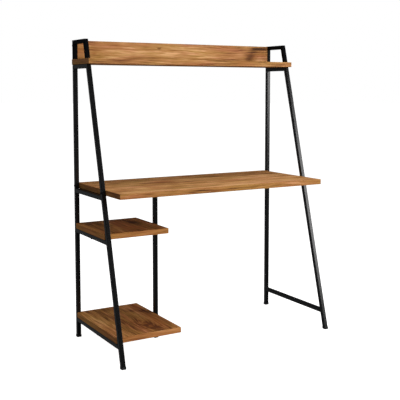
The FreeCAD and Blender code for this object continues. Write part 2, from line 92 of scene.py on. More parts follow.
class WoodSettings(PropertyGroup):
    """Decor of the boards."""
    pale: colour("Pale grain", "Lightest streaks", (0.80, 0.448, 0.205))
    golden: colour("Golden grain", "Light streaks", (0.55, 0.270, 0.092))
    tan: colour("Tan grain", "Ground colour", (0.41, 0.188, 0.056))
    brown: colour("Brown grain", "Dark streaks", (0.235, 0.096, 0.029))
    umber: colour("Umber grain", "Knots and the darkest lines", (0.080, 0.034, 0.014))
    russet: colour("Russet patches", "Red-brown stretches of the decor", (0.39, 0.120, 0.034))
    roughness: amount("Roughness", "Of the lacquered face", 0.58)
    pore_depth: length("Pore depth", "Height of the embossed grain", 0.00012)


class SteelSettings(PropertyGroup):
    """Powder coat of the frames."""
    coat: colour("Coat", "Colour of the powder coat", (0.0036, 0.0037, 0.0040))
    roughness: amount("Roughness", "Of the powder coat", 0.27)
    gloss: amount("Gloss", "Specular level of the frames", 0.37)
    loop_gloss: amount("Loop gloss", "Specular level of the duller loops", 0.015)
    peel_size: length("Peel size", "Width of one orange-peel dimple", 0.0011)
    peel_depth: length("Peel depth", "Height of the orange peel", 0.00002)


class SmallPartSettings(PropertyGroup):
    """Plastic, fasteners and weld beads."""
    plastic: colour("Plastic", "Colour of the feet", (0.010, 0.010, 0.0105))
    zinc: colour("Zinc", "Colour of plated steel", (0.62, 0.63, 0.60))
    blackened: colour("Blackened steel", "Colour of the bolts", (0.035, 0.035, 0.037))
    brass: colour("Brass", "Colour of the threaded inserts", (0.72, 0.50, 0.22))
    beech: colour("Beech", "Colour of the dowels", (0.58, 0.40, 0.24))
    socket_width: length("Hexagon socket", "Across flats", 0.0040)
    socket_depth: length("Socket depth", "Of the bolts", 0.0024)
    dome_height: length("Dome height", "Of the bolts' heads, above the straight rim", 0.0024)
    thread_pitch: length("Thread pitch", "Of the bolts", 0.0010)
    screw_pitch: length("Screw pitch", "Of the wood screws", 0.0016)
    bead_width: length("Weld bead", "Width of a weld bead", 0.0026)
    bead_pitch: length("Weld ripple", "Distance between two ripples of a bead", 0.0011)
    facets: IntProperty(name="Facets", description="Steps round a turned part", default=36)


class StageSettings(PropertyGroup):
    """Camera, lights and floor."""
    camera_place: location("Camera", "Place of the camera", (-1.9344, -3.2545, 1.2181))
    camera_pitch: degrees("Pitch", "How far the camera looks down", 4.998)
    camera_yaw: degrees("Yaw", "How far the camera is turned to the right", 30.453)
    lens: amount("Lens", "Focal length in millimetres", 69.561)
    lens_shift: amount("Lens shift", "Vertical shift of the picture", -0.11)
    key_place: location("Key light", "Middle of the upright softbox", (3.0, -3.2, 1.725))
    key_target: location("Key target", "What the upright softbox looks at", (0.56, 0.0, 1.0))
    key_width: length("Key width", "Of the upright softbox", 1.2)
    key_height: length("Key height", "Of the upright softbox", 1.75)
    key_power: amount("Key power", "Watts of the upright softbox", 57.0)
    middle: location("Middle", "What the other two softboxes look at", (0.0, 0.0, 0.8))
    fill_place: location("Fill light", "Middle of the frontal softbox", (0.6, -3.6, 1.3))
    fill_width: length("Fill width", "Of the frontal softbox", 2.4)
    fill_height: length("Fill height", "Of the frontal softbox", 2.0)
    fill_power: amount("Fill power", "Watts of the frontal softbox", 56.0)
    top_place: location("Top light", "Middle of the overhead softbox", (0.0, -0.4, 3.2))
    top_width: length("Top width", "Of the overhead softbox", 2.6)
    top_depth: length("Top depth", "Of the overhead softbox", 1.8)
    top_power: amount("Top power", "Watts of the overhead softbox", 37.0)
    room: amount("Room", "Light of the walls and the floor on the desk", 0.215)
    sheen: amount("Sheen", "Brightness of the walls in reflections", 0.05)
    left_sheen: amount("Left sheen", "Brightness of the left wall in reflections", 0.18)
    floor_glow: amount("Floor glow", "Light that the white floor gives off", 0.95)


# ---- Nodes ----
def operator_pair(operation):
    """An operator of Field and its reflected form."""
    def forward(field, other):
        return field.math(operation, field, other)

    def reflected(field, other):
        return field.math(operation, other, field)
    return forward, reflected


class Field:
    """An output of a node. Plain arithmetic on it adds Math nodes."""

    def __init__(self, home, socket):
        self.home = home
        self.socket = socket

    def math(self, operation, first, second=0.0):
        return self.home.node("ShaderNodeMath", {"operation": operation}, {0: first, 1: second})

    __add__, __radd__ = operator_pair("ADD")
    __sub__, __rsub__ = operator_pair("SUBTRACT")
    __mul__, __rmul__ = operator_pair("MULTIPLY")
    __truediv__, __rtruediv__ = operator_pair("DIVIDE")
    __pow__, __rpow__ = operator_pair("POWER")

    def __neg__(self):
        return self * -1.0

    def __gt__(self, other):
        return self.math("GREATER_THAN", self, other)

    def __lt__(self, other):
        return self.math("LESS_THAN", self, other)

    def size(self):
        return self.math("ABSOLUTE", self)

    def exp(self):
        return self.math("EXPONENT", self)

    def sine(self):
        return self.math("SINE", self)


def set_stops(ramp, stops):
    while len(ramp.elements) < len(stops):
        ramp.elements.new(1.0)
    for element, (position, tint) in zip(ramp.elements, stops):
        element.position = position
        element.color = tint


class Nodes:
    """A tree of nodes, which all come from one method."""

    def __init__(self, tree):
        self.tree = tree

    def node(self, kind, settings=None, inputs=None, output=0):
        """Add a node and give one of its outputs as a field.

        Its settings are set first, then the values or links of its inputs.
        """
        made = self.tree.nodes.new(kind)
        for name, value in (settings or {}).items():
            if name == "stops":
                set_stops(made.color_ramp, value)
            else:
                setattr(made, name, value)
        for key, value in (inputs or {}).items():
            if isinstance(value, Field):
                self.tree.links.new(value.socket, made.inputs[key])
            else:
                made.inputs[key].default_value = value
        return Field(self, made.outputs[output]) if made.outputs else None

    def parts(self, vector):
        """The X, Y and Z of a vector."""
        return [self.node("ShaderNodeSeparateXYZ", None, {0: vector}, output=axis)
                for axis in (X, Y, Z)]

    def rise(self, value, start, end, kind="SMOOTHSTEP"):
        """0 up to the start, 1 past the end and a rise between."""
        return self.node("ShaderNodeMapRange", {"interpolation_type": kind},
                         {"Value": value, "From Min": start, "From Max": end})


class Shader(Nodes):
    """One material and the nodes in it."""

    def __init__(self, name):
        self.material = bpy.data.materials.new(name)
        self.material.use_nodes = True
        super().__init__(self.material.node_tree)
        self.tree.nodes.clear()

    def object_place(self):
        return self.node("ShaderNodeTexCoord", output="Object")

    def noise(self, vector, scale=1.0, detail=2.0, roughness=0.5):
        """Smooth noise between 0 and 1."""
        inputs = {"Vector": vector, "Scale": scale, "Detail": detail, "Roughness": roughness}
        return self.node("ShaderNodeTexNoise", {"noise_dimensions": "3D"}, inputs)

    def point(self, x, y, z):
        return self.node("ShaderNodeCombineXYZ", None, {0: x, 1: y, 2: z})

    def mix(self, factor, first, second, kind="MIX"):
        """Colour between two colours, or their product."""
        inputs = {0: factor, 6: first, 7: second}
        settings = {"data_type": "RGBA", "blend_type": kind, "clamp_factor": True}
        return self.node("ShaderNodeMix", settings, inputs, output=2)

    def shaded(self, factor, tint, share):
        """Colour between a tint and a share of it."""
        return self.mix(factor, opaque(tint), opaque([channel * share for channel in tint]))

    def bump(self, height, distance):
        return self.node("ShaderNodeBump", None, {"Height": height, "Distance": distance})

    def finish(self, inputs):
        """Close the material with a Principled surface."""
        surface = self.node("ShaderNodeBsdfPrincipled", None, inputs)
        self.node("ShaderNodeOutputMaterial", None, {"Surface": surface})
        return self.material


def opaque(tint):
    return (tint[0], tint[1], tint[2], 1.0)


# ---- Painting ----
def paint(material, *nodes):
    """Put a material on nodes of the frame."""
    for node in nodes:
        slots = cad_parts[node].material_slots
        if not slots:
            raise RuntimeError(node + " has no material slot")
        for slot in slots:
            slot.material = material


def both_sides(*parts):
    """Names of the same parts in the left and the right frame."""
    return [side + "_" + part for side in SIDE_NAMES.values() for part in parts]


# ---- Wood ----
MARK_KINDS = ("knot", "dark", "gold", "russet", "rose", "olive")
ROSE = (1.03, 0.90, 1.12, 1.0)
OLIVE = (0.96, 1.07, 0.88, 1.0)
EDGE_CONTRAST = 0.6
BOARD_GLOSS = 0.10
STREAK_RELIEF = 0.6
STREAK_ROUGHNESS = 0.16

# A face looks along an axis where its normal has more than this of it. Faces that look sideways,
# up or down take the decor from other depths of the noise than fronts and backs.
FACING = 0.8
SIDEWAYS_DEPTH, UPWARD_DEPTH = 3.0, 7.0

# Layers of the noise: scale along the grain and across it, depth, detail and roughness. The first
# one makes the grain of the others wander across the board.
WANDER = (2.6, 9.0, 0.0, 2.0, 0.5)
LAYERS = {
    "broad": (1.7, 14.0, 10.0, 2.0, 0.5),
    "bands": (3.2, 46.0, 20.0, 3.0, 0.62),
    "streaks": (9.0, 190.0, 30.0, 4.0, 0.6),
    "fibres": (30.0, 1100.0, 40.0, 2.0, 0.5),
    "patches": (2.4, 20.0, 50.0, 1.0, 0.5),
    "burl": (34.0, 60.0, 60.0, 3.0, 0.5),
    "hue": (4.0, 34.0, 70.0, 3.0, 0.6),
}
WANDER_WIDTH = 0.030
KNOT_WIDTH = 0.020

# The decor's tone runs from umber (0) to pale (1). Where its five tints stand, and the shares that
# the layers, the growth rings and the marks have in it.
TONE_STOPS = (0.00, 0.24, 0.48, 0.74, 1.00)
LAYER_SHARES = {"broad": 1.20, "bands": 1.60, "streaks": 2.40, "fibres": 0.40}
RING_SHARE = 0.12
RING_SPACING, RING_WAVER, RING_SHARPNESS = 64.0, 8.0, 3.0
GOLD_SHARE, DARK_SHARE = 0.30, 0.45
KNOT_SHARE, BURL_SHARE = 0.20, 0.75

# Values of a layer between which the burls and the other colours come up, or the olive one fades.
BURL_RISE = (0.36, 0.62)
RUSSET_RISE = (0.52, 0.74)
ROSE_RISE = (0.48, 0.64)
OLIVE_FALL = (0.36, 0.52)
RUSSET_SHARE, RUSSET_MARK_SHARE, HUE_SHARE = 0.40, 0.6, 0.6


class Board:
    """How one board is cut from the decor.

    layout tells, for faces that look along X, Y and Z, which axes run along and across the grain.
    The main face looks along face_axis. ground and edge_ground are the decor's mean tone on it and
    on the other faces. contrast is the strength of the grain. cast multiplies the colour, and
    left_end_shade darkens the end that looks to the left: painted shade, as if less light came from
    there.

    marks holds listed features of the main face: knots, streaks and patches of other colours.
    A key names one or more of MARK_KINDS. A feature has its place along and across the grain and
    its reach along and across it, in millimetres, and its strength. edge_marks holds those of the
    front and back edges.
    """

    def __init__(self, node, seed, layout, face_axis, marks, ground, edge_ground, contrast,
                 left_end_shade=1.0, cast=(1.0, 1.0, 1.0), edge_marks=None):
        self.node = node
        self.seed = seed
        self.layout = layout
        self.face_axis = face_axis
        self.marks = marks
        self.ground = ground
        self.edge_ground = edge_ground
        self.contrast = contrast
        self.left_end_shade = left_end_shade
        self.cast = cast
        self.edge_marks = edge_marks or {}


LENGTHWISE = {X: (Y, Z), Y: (X, Z), Z: (X, Y)}
DEPTHWISE = {X: (Y, Z), Y: (X, Z), Z: (Y, X)}
UPRIGHT = {X: (Z, Y), Y: (X, Z), Z: (X, Y)}

BOARDS = [
    Board("desktop", 3.1, LENGTHWISE, Z, {
        # Painted shade: the first dark mark is a long narrow band along the back edge, shade under the
        # top shelf.
        "dark": [(0, 268, 700, 16, 0.5), (270, 180, 280, 45, 0.45), (140, 140, 40, 12, 0.6),
                 (390, 150, 60, 14, 0.4), (-130, 165, 220, 32, 0.6), (-205, 60, 80, 30, 0.75),
                 (480, -20, 110, 24, 0.35), (-400, 35, 60, 30, 0.3)],
        "russet": [(230, 185, 100, 20, 0.6), (20, 210, 40, 16, 0.9), (-380, 212, 60, 14, 0.5),
                   (120, -28, 40, 22, 0.7), (-500, -110, 50, 45, 0.4), (500, 10, 35, 18, 0.8)],
        "olive": [(-180, 220, 40, 22, 0.9), (-270, 160, 50, 14, 0.8), (-220, -140, 40, 18, 1.0)],
        "dark olive": [(-400, 155, 45, 16, 0.5), (490, -130, 28, 18, 0.4)],
        "russet rose": [(-175, 85, 70, 30, 0.7), (185, -10, 34, 24, 0.7)],
        "dark rose": [(-275, 70, 35, 20, 0.5), (450, 45, 30, 18, 0.5)],
        "gold olive": [(260, 60, 160, 24, 0.6), (-375, -98, 36, 30, 0.8)],
        "gold": [(90, -196, 300, 26, 1.3), (250, -125, 300, 40, 0.25), (50, 45, 90, 30, 0.4)],
        "gold russet": [(105, -130, 30, 20, 0.4), (450, -90, 90, 28, 0.45)],
        "rose": [(290, -190, 110, 16, 0.6), (520, -200, 30, 18, 1.0)],
    }, ground=0.70, edge_ground=0.55, contrast=1.0, left_end_shade=0.9, cast=(1.01, 0.98, 0.93), edge_marks={
        "russet": [(-30, 747, 50, 3, 0.9), (515, 749, 20, 8, 0.6)],
        # Painted shade: the last dark mark, broad and faint, darkens the left part of the front edge.
        "dark": [(20, 749, 40, 3, 0.5), (-135, 752, 35, 5, 0.3), (430, 755, 40, 6, 0.3),
                 (-300, 750, 200, 30, 0.12)],
        "dark olive": [(-415, 751, 30, 5, 0.5)],
        "rose": [(-480, 750, 50, 8, 0.7)],
        "gold russet": [(200, 745, 50, 5, 0.4)],
    }),
    Board("top_shelf", 7.7, LENGTHWISE, Y, {
        "dark": [(-150, 1351.5, 110, 1.8, 0.6), (215, 1344, 50, 1.8, 0.45),
                 (460, 1341, 45, 3, 0.4)],
        "dark olive": [(-400, 1340, 32, 3, 0.55)],
        "russet": [(-40, 1337.5, 90, 2, 0.7), (500, 1350, 70, 3, 0.5)],
        "gold": [(140, 1348, 70, 3, 0.5), (520, 1346, 60, 10, 0.4)],
        "gold olive": [(-10, 1345, 50, 6, 0.4)],
    }, ground=0.60, edge_ground=0.55, contrast=0.75, left_end_shade=0.7),
    Board("back_panel", 11.3, UPRIGHT, Y, {
        "knot": [(-115, 1419, 10, 6, 0.6)],
        "gold": [(-200, 1390, 220, 18, 0.65), (90, 1376, 130, 16, 0.9)],
        "dark": [(290, 1388, 70, 14, 0.5), (-480, 1400, 45, 80, 0.35), (-175, 1372.2, 110, 2, 0.5),
                 (140, 1372.2, 110, 2, 0.5), (420, 1402, 70, 50, 0.25), (438, 1380, 34, 28, 1.35),
                 (465, 1424, 28, 20, 0.55), (508, 1432, 56, 7, 1.25), (540, 1400, 40, 60, 0.45)],
        "gold olive": [(140, 1395, 100, 16, 0.6)],
        "russet": [(-400, 1430, 110, 14, 0.6), (-467, 1386, 14, 6, 1.0), (520, 1400, 45, 16, 0.9)],
        "dark olive": [(-440, 1367, 24, 7, 0.6)],
        "olive": [(0, 1364, 300, 6, 0.8), (520, 1366, 40, 8, 0.7)],
        "rose": [(45, 1437, 40, 7, 0.9), (330, 1417, 110, 30, 0.3)],
        "dark russet": [(-545, 1400, 30, 60, 0.4)],
    }, ground=0.64, edge_ground=0.5, contrast=0.70, cast=(0.95, 1.01, 1.13)),
    Board("middle_shelf", 17.9, DEPTHWISE, Z, {
        "dark": [(135, -318, 32, 24, 1.1)],
        "russet": [(20, -382, 80, 30, 1.0), (170, -395, 60, 30, 0.9), (170, -545, 40, 10, 0.6),
                   (-90, -505, 20, 20, 0.8)],
        "gold": [(0, -460, 80, 24, 0.6), (50, -525, 200, 35, 0.6)],
        "olive": [(70, -320, 24, 20, 0.9)],
        "gold russet": [(-75, -272, 30, 14, 0.9)],
    }, ground=0.49, edge_ground=0.54, contrast=0.8, cast=(1.07, 0.98, 0.86)),
    Board("bottom_shelf", 23.3, DEPTHWISE, Z, {
        "knot": [(-90, -378, 85, 30, 0.9), (-140, -335, 45, 18, 0.8)],
        "russet": [(-80, -370, 100, 50, 0.5), (190, -290, 50, 45, 0.8), (-30, -300, 130, 18, 1.1)],
        "gold rose": [(-185, -410, 30, 14, 0.7)],
        "rose": [(-130, -415, 70, 25, 0.7)],
        "gold": [(-20, -530, 300, 50, 0.75), (130, -512, 120, 20, 0.55),
                 (140, -465, 100, 20, 0.35)],
        "dark": [(85, -493, 40, 8, 0.6), (215, -440, 30, 30, 0.6), (-60, -445, 200, 8, 0.5),
                 (138, -335, 18, 26, 0.7), (110, -290, 18, 26, 0.9), (80, -262, 20, 16, 0.9),
                 (-200, -330, 30, 60, 0.35), (-60, -306, 90, 20, 0.3)],
    }, ground=0.55, edge_ground=0.58, contrast=0.85, cast=(1.06, 0.97, 0.86)),
]


class WoodShader(Shader):
    """Printed and embossed wood decor for one board."""

    def __init__(self, board, settings):
        super().__init__("wood_" + board.node)
        self.board = board
        self.wood = settings
        place = self.parts(self.object_place())
        normal = self.parts(self.node("ShaderNodeTexCoord", output="Normal"))
        self.looks_x = normal[X].size() > FACING
        self.looks_z = normal[Z].size() > FACING
        self.looks_y = (1.0 - self.looks_z) * (1.0 - self.looks_x)
        # Faces that look to the left, which take the painted shade of the left end.
        self.left_end_shade = self.looks_x * (normal[X] < 0.0)
        self.along, self.across = [self.choose(place, which) for which in (0, 1)]
        self.on_face = self.looks_z if board.face_axis == Z else self.looks_y

    def choose(self, place, which):
        """The coordinate along (0) or across (1) the grain, by the way that the face looks."""
        options = {facing: place[axes[which]] for facing, axes in self.board.layout.items()}
        value = options[Y] + self.looks_x * (options[X] - options[Y])
        return value + self.looks_z * (options[Z] - options[Y])

    def layer(self, values, across):
        """Noise of one layer of the decor."""
        along_scale, across_scale, layer_depth, detail, roughness = values
        depth = self.looks_x * SIDEWAYS_DEPTH + self.looks_z * UPWARD_DEPTH
        depth = depth + (self.board.seed + layer_depth)
        spot = self.point(self.along * along_scale, across * across_scale, depth)
        return self.noise(spot, detail=detail, roughness=roughness)

    def face_or_edge(self, face, edge):
        """One value on the board's main face and another on the others."""
        return self.on_face * (face - edge) + edge

    def spot(self, along, across, long, wide, strength):
        """Soft oval that fades out from its middle."""
        u = (self.along - along * MM) / (long * MM)
        v = (self.across - across * MM) / (wide * MM)
        return (-(u * u + v * v)).exp() * strength

    def marked(self, kind):
        """Sum of the board's marks of one kind."""
        total = 0.0
        for marks, mask in ((self.board.marks, self.on_face), (self.board.edge_marks, self.looks_y)):
            spots = [self.spot(*mark) for kinds, rows in marks.items() if kind in kinds.split()
                     for mark in rows]
            if spots:
                total = sum(spots[1:], spots[0]) * mask + total
        return total

    def tone(self, layers, marks):
        """Lightness of the decor."""
        shares = [(layers[name] - 0.5) * share for name, share in LAYER_SHARES.items()]
        turns = layers["broad"] * RING_SPACING + layers["bands"] * RING_WAVER
        rings = (turns.sine() * 0.5 + 0.5) ** RING_SHARPNESS
        board = self.board
        contrast = self.face_or_edge(board.contrast, board.contrast * EDGE_CONTRAST)
        grain = (sum(shares[1:], shares[0]) - rings * RING_SHARE) * contrast
        ground = self.face_or_edge(board.ground, board.edge_ground)
        burl = self.rise(layers["burl"], *BURL_RISE)
        return (grain + ground + marks["gold"] * GOLD_SHARE - marks["dark"] * DARK_SHARE
                - marks["knot"] * (KNOT_SHARE + burl * BURL_SHARE))

    def colour(self, layers, marks):
        """Colour of the decor: tone, reddish patches, wandering hue, board's cast, painted left-end
        shade.
        """
        wood = self.wood
        tints = map(opaque, (wood.umber, wood.brown, wood.tan, wood.golden, wood.pale))
        tint = self.node("ShaderNodeValToRGB", {"stops": list(zip(TONE_STOPS, tints))},
                         {0: self.tone(layers, marks)})
        red = self.rise(layers["patches"], *RUSSET_RISE) * RUSSET_SHARE
        tint = self.mix(red + marks["russet"] * RUSSET_MARK_SHARE, tint, opaque(wood.russet))
        rose = self.rise(layers["hue"], *ROSE_RISE) * HUE_SHARE
        tint = self.mix(rose + marks["rose"], tint, ROSE, "MULTIPLY")
        olive = HUE_SHARE - self.rise(layers["hue"], *OLIVE_FALL) * HUE_SHARE
        tint = self.mix(olive + marks["olive"], tint, OLIVE, "MULTIPLY")
        # Painted shade on the end that looks to the left, as if less light came from there.
        shade = self.left_end_shade * (self.board.left_end_shade - 1.0) + 1.0
        cast = self.point(*[shade * channel for channel in self.board.cast])
        return self.mix(1.0, tint, cast, "MULTIPLY")

    def build(self):
        marks = {kind: self.marked(kind) for kind in MARK_KINDS}
        wander = self.layer(WANDER, self.across) - 0.5
        bent = self.across + wander * WANDER_WIDTH + marks["knot"] * KNOT_WIDTH
        layers = {name: self.layer(values, bent) for name, values in LAYERS.items()}
        relief = layers["streaks"] * STREAK_RELIEF + layers["fibres"] * (1.0 - STREAK_RELIEF)
        return self.finish({
            "Base Color": self.colour(layers, marks),
            "Roughness": (layers["streaks"] - 0.5) * STREAK_ROUGHNESS + self.wood.roughness,
            "Specular IOR Level": BOARD_GLOSS,
            "Normal": self.bump(relief, self.wood.pore_depth),
        })


class DESK_OT_boards(Operator):
    """Give each board its wood decor"""
    bl_idname = "desk.boards"
    bl_label = "Boards"

    def execute(self, context):
        for board in BOARDS:
            paint(WoodShader(board, context.scene.desk_wood).build(), board.node)
        return {"FINISHED"}


# ---- Steel, plastic and the small parts ----
HAZE_SCALE = 14.0
PLASTIC_SCALE, PLASTIC_RELIEF = 2600.0, 0.03 * MM
CLOUD_SCALE = 180.0
TURNING_SCALE, TURNING_RELIEF = 3200.0, 0.01 * MM
BEECH_ACROSS, BEECH_ALONG, BEECH_RELIEF = 900.0, 40.0, 0.05 * MM


def powder_coat(settings, name, gloss):
    """Black coat with an orange peel and a faint haze."""
    shader = Shader(name)
    place = shader.object_place()
    peel = shader.noise(place, 1.0 / settings.peel_size, detail=2.0)
    haze = shader.noise(place, HAZE_SCALE, detail=3.0)
    return shader.finish({
        "Base Color": shader.shaded(haze, settings.coat, 1.35),
        "Roughness": (haze - 0.5) * 0.10 + settings.roughness,
        "Specular IOR Level": gloss,
        "Normal": shader.bump(peel, settings.peel_depth),
    })


def moulded_plastic(settings):
    """Black plastic with a fine texture."""
    shader = Shader("foot_plastic")
    texture = shader.noise(shader.object_place(), PLASTIC_SCALE, detail=1.0)
    return shader.finish({
        "Base Color": shader.shaded(texture, settings.plastic, 1.6),
        "Roughness": texture * 0.12 + 0.50,
        "Specular IOR Level": 0.4,
        "Normal": shader.bump(texture, PLASTIC_RELIEF),
    })


def plated(name, tint, roughness):
    """Plated metal with faint turning marks."""
    shader = Shader(name)
    place = shader.object_place()
    cloud = shader.noise(place, CLOUD_SCALE, detail=3.0)
    grain = shader.noise(place, TURNING_SCALE, detail=1.0)
    return shader.finish({
        "Base Color": shader.shaded(cloud, tint, 0.72),
        "Metallic": 1.0,
        "Roughness": (cloud - 0.5) * 0.2 + roughness,
        "Normal": shader.bump(grain, TURNING_RELIEF),
    })


def beech(settings):
    """Plain wood with its grain along Z."""
    shader = Shader("dowel_wood")
    x, y, z = shader.parts(shader.object_place())
    grain = shader.noise(shader.point(x * BEECH_ACROSS, y * BEECH_ACROSS, z * BEECH_ALONG))
    return shader.finish({
        "Base Color": shader.shaded(grain, settings.beech, 0.6),
        "Roughness": grain * 0.1 + 0.6,
        "Normal": shader.bump(grain, BEECH_RELIEF),
    })


FRAME_PARTS = ("rear_leg", "front_leg", "top_rail", "desk_rail", "front_desk_plate",
               "rear_desk_plate")
LOOP_PARTS = ("loop_rear_upright", "loop_front_upright", "loop_top_bar", "loop_foot_plates")
SINGLE_STEEL = ("left_middle_rail", "left_bottom_rail", "right_bottom_rail", "middle_post",
                "middle_post_plate")


class DESK_OT_frames(Operator):
    """Powder coat the two side frames, the loops, the post and their plates"""
    bl_idname = "desk.frames"
    bl_label = "Frames"

    def execute(self, context):
        steel = context.scene.desk_steel
        coat = powder_coat(steel, "powder_coat", steel.gloss)
        paint(coat, *both_sides(*FRAME_PARTS), *SINGLE_STEEL)
        dull = powder_coat(steel, "dull_powder_coat", steel.loop_gloss)
        paint(dull, *both_sides(*LOOP_PARTS))
        return {"FINISHED"}


class DESK_OT_feet(Operator):
    """Give the feet their moulded plastic"""
    bl_idname = "desk.feet"
    bl_label = "Feet"

    def execute(self, context):
        plastic = moulded_plastic(context.scene.desk_parts)
        paint(plastic, *both_sides("rear_foot", "front_foot"), "middle_post_foot")
        return {"FINISHED"}


class DESK_OT_inner_parts(Operator):
    """Finish the inserts, studs, nuts and dowels inside the boards and tubes"""
    bl_idname = "desk.inner_parts"
    bl_label = "Inner parts"

    def execute(self, context):
        parts = context.scene.desk_parts
        brass = plated("insert_brass", parts.brass, 0.34)
        paint(brass, "desk_inserts", "panel_inserts", "rail_inserts", "post_inserts")
        paint(plated("zinc_steel", parts.zinc, 0.38), "loop_studs", "stud_nuts")
        paint(beech(parts), "panel_dowels")
        return {"FINISHED"}


# ---- Turned fasteners ----
EDGE_BREAK = 0.15 * MM

# Shares of a fastener's head radius, shank radius or shank length.
BOLT_CROWN, SCREW_CROWN, RECESS_WIDTH = 0.52, 0.66, 0.55
BOLT_THREAD_DEPTH, SCREW_THREAD_DEPTH = 0.18, 0.34
BOLT_THREAD_START = 0.55
RINGS_PER_TURN = 4
RIM_FULLNESS, CROWN_FULLNESS = 0.8, 1.1


def solids_of(node):
    """Lowest and highest corner of each separate solid in a node."""
    copy = bmesh.new()
    copy.from_mesh(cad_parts[node].data)
    bmesh.ops.remove_doubles(copy, verts=copy.verts, dist=1e-6)
    copy.verts.ensure_lookup_table()
    unseen = set(copy.verts)
    boxes = []
    for start in copy.verts:
        if start not in unseen:
            continue
        island, queue = [], [start]
        unseen.discard(start)
        while queue:
            vert = queue.pop()
            island.append(vert.co.copy())
            for edge in vert.link_edges:
                other = edge.other_vert(vert)
                if other in unseen:
                    unseen.discard(other)
                    queue.append(other)
        boxes.append([Vector([pick(co[axis] for co in island) for axis in (X, Y, Z)])
                      for pick in (min, max)])
    copy.free()
    return boxes


def finished_mesh(name, shape):
    mesh = bpy.data.meshes.new(name)
    shape.to_mesh(mesh)
    shape.free()
    return mesh


def stack_rings(name, rings, steps):
    """Closed mesh of rings along Z. A ring gives its radius and height at each angle."""
    shape = bmesh.new()
    loops = []
    for ring in rings:
        loop = []
        for step in range(steps):
            turn = 2.0 * math.pi * step / steps
            radius, height = ring(turn)
            place = (radius * math.cos(turn), radius * math.sin(turn), height)
            loop.append(shape.verts.new(place))
        loops.append(loop)
    for below, above in zip(loops, loops[1:]):
        for step in range(steps):
            after = (step + 1) % steps
            shape.faces.new((below[step], below[after], above[after], above[step]))
    for loop in (loops[0], loops[-1]):
        middle = sum((vert.co for vert in loop), Vector()) / steps
        hub = shape.verts.new(middle)
        for step in range(steps):
            shape.faces.new((loop[step], loop[(step + 1) % steps], hub))
    bmesh.ops.recalc_face_normals(shape, faces=shape.faces)
    return finished_mesh(name, shape)


def round_ring(radius, height):
    return lambda angle: (radius, height)


def hexagon_ring(across_flats, height):
    def at(angle):
        turn = (angle + math.pi / 6.0) % (math.pi / 3.0) - math.pi / 6.0
        return across_flats / 2.0 / math.cos(turn), height
    return at


def cross_ring(arm, arm_width, height):
    """Outline of a cross recess: four arms of a given half width."""
    def at(angle):
        turn = (angle + math.pi / 4.0) % (math.pi / 2.0) - math.pi / 4.0
        side = arm_width / max(abs(math.sin(turn)), 1e-6)
        return min(arm / math.cos(turn), side), height
    return at


def thread_rings(radius, depth, pitch, start, end):
    """Rings of a helical thread between two heights, running out at both ends."""
    count = int((end - start) / pitch * RINGS_PER_TURN)
    rings = []
    for index in range(count + 1):
        height = start + (end - start) * index / count
        run_out = min(1.0, (height - start) / pitch, (end - height) / pitch)

        def at(angle, height=height, run_out=run_out):
            turn = (height / pitch - angle / (2.0 * math.pi)) % 1.0
            crest = 1.0 - abs(2.0 * turn - 1.0)
            return radius - depth * (1.0 - crest) * run_out, height
        rings.append(at)
    return rings


def dome_rings(rim_radius, crown_radius, rim_height, head_height, steps):
    """Rings of a head's dome, from its rim to its crown. The head is below the origin."""
    rings = []
    for index in range(steps + 1):
        share = index / steps
        turn = share * math.pi / 2.0
        radius = crown_radius + (rim_radius - crown_radius) * math.cos(turn) ** RIM_FULLNESS
        height = rim_height + (head_height - rim_height) * math.sin(turn) ** CROWN_FULLNESS
        rings.append(round_ring(radius, -height))
    return rings


def button_bolt(parts, head_radius, head_height, shank_radius, shank_length):
    """Button-head bolt along +Z, with its seat at the origin, a hexagon socket and a thread."""
    edge = EDGE_BREAK
    rim_height = head_height - parts.dome_height
    socket_floor = parts.socket_depth - head_height
    dome = dome_rings(head_radius - edge, head_radius * BOLT_CROWN, rim_height, head_height, steps=7)
    thread = thread_rings(shank_radius, shank_radius * BOLT_THREAD_DEPTH, parts.thread_pitch,
                          shank_length * BOLT_THREAD_START, shank_length - edge)
    return stack_rings("button_bolt", [
        hexagon_ring(parts.socket_width * 0.5, socket_floor + edge),
        hexagon_ring(parts.socket_width, socket_floor),
        hexagon_ring(parts.socket_width, edge - head_height),
        hexagon_ring(parts.socket_width + 2.0 * edge, -head_height),
        *reversed(dome),
        round_ring(head_radius, edge - rim_height),
        round_ring(head_radius, -edge),
        round_ring(head_radius - edge, 0.0),
        round_ring(shank_radius, 0.0),
        *thread,
        round_ring(shank_radius * 0.8, shank_length),
    ], parts.facets)


def wood_screw(parts, head_radius, head_height, shank_radius, shank_length):
    """Pan-head wood screw along +Z with a cross recess and a tapered, threaded tip."""
    recess = head_radius * RECESS_WIDTH
    dome = dome_rings(head_radius, head_radius * SCREW_CROWN, head_height * 0.30, head_height, steps=5)
    thread = thread_rings(shank_radius, shank_radius * SCREW_THREAD_DEPTH, parts.screw_pitch,
                          shank_length * 0.15, shank_length * 0.72)
    return stack_rings("wood_screw", [
        cross_ring(recess * 0.25, recess * 0.10, -head_height * 0.25),
        cross_ring(recess * 0.75, recess * 0.20, -head_height * 0.70),
        cross_ring(recess, recess * 0.24, -head_height),
        *reversed(dome),
        round_ring(head_radius, 0.0),
        round_ring(shank_radius, 0.0),
        *thread,
        round_ring(shank_radius * 0.55, shank_length * 0.88),
        round_ring(shank_radius * 0.08, shank_length),
    ], parts.facets)


# ---- Geometry Nodes ----
# Sockets of the Random Value node for decimal numbers, whose names others share.
LOW_FLOAT, HIGH_FLOAT, RANDOM_FLOAT = 2, 3, 1

# Smallest and largest ripple of a weld, as shares of its width.
SWELL_LOW, SWELL_HIGH = 0.88, 1.12


